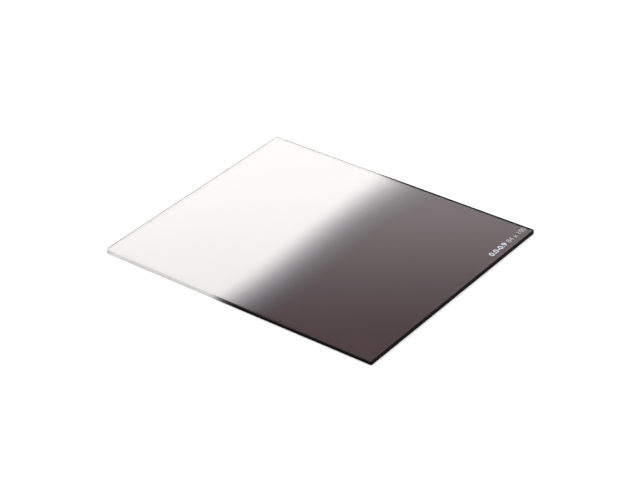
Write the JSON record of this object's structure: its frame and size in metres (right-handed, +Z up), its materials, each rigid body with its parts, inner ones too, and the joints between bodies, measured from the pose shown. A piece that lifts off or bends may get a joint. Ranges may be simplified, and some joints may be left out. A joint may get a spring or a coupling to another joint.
{
  "type": "slot-in graduated neutral density filter plate",
  "caption": "Thin rectangular resin filter plate for a slot-in lens filter holder, clear over one half and grey over the other, with a soft change between them.",
  "frame": {"origin": "middle of the lower face, which the plate lies on", "axes": "+X from the clear short edge to the dyed short edge, +Y across the plate between its long edges, +Z up through its thickness"},
  "size_m": [0.1, 0.084, 0.0015],
  "materials": {
    "tinted_resin": "polished clear optical resin, dyed neutral grey over the +X half with a soft change about 25 mm long across the middle",
    "white_print": "thin white printed ink"
  },
  "bodies": {
    "root": {"filter_plate": "tinted_resin"}
  },
  "joints": []
}
